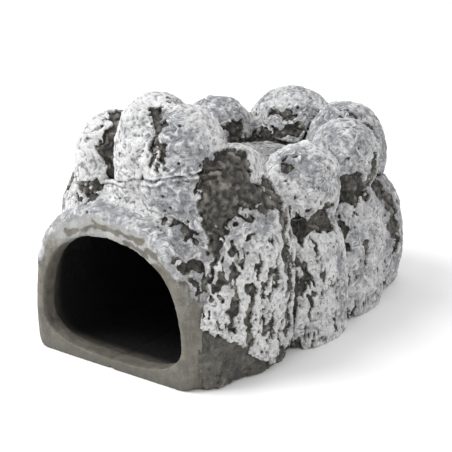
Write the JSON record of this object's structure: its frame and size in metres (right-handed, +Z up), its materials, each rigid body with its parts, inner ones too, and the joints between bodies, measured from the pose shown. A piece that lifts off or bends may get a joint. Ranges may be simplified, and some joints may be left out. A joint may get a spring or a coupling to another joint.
{
  "type": "resin cave ornament",
  "caption": "Hollow rock tunnel with a D-shaped mouth, faced with rounded boulders in columns that ring a sunken basin on its top.",
  "frame": {"origin": "middle of the flat underside of the bounding box", "axes": "+Y from the mouth to the closed rear, +X to the side of the taller front boulders, +Z up"},
  "size_m": [0.11, 0.165, 0.106],
  "materials": {
    "bare_resin": "smooth olive-brown cast resin with a thin grey wash",
    "painted_rock": "rough cast resin rock, olive-brown in its pits and dry-brushed pale grey on its crust",
    "basin_rock": "rough cast resin rock with a light grey wash"
  },
  "bodies": {
    "root": {"tunnel_shell_left": "bare_resin", "tunnel_shell_right": "bare_resin", "tunnel_rear_wall": "bare_resin", "basin_floor": "basin_rock", "brow_rock": "painted_rock", "front_knob_left": "painted_rock", "front_knob_middle": "painted_rock", "front_knob_right": "painted_rock", "right_shoulder_rock": "painted_rock", "left_shoulder_rock": "painted_rock", "right_front_knob": "painted_rock", "right_front_boulder": "painted_rock", "right_rear_knob": "painted_rock", "right_rear_boulder": "painted_rock", "left_front_knob": "painted_rock", "left_front_boulder": "painted_rock", "left_rear_knob": "painted_rock", "left_rear_boulder": "painted_rock", "rear_knob_right": "painted_rock", "rear_knob_left": "painted_rock", "rear_boulder_right": "painted_rock", "rear_boulder_left": "painted_rock", "rear_boulder_middle": "painted_rock"}
  },
  "joints": []
}
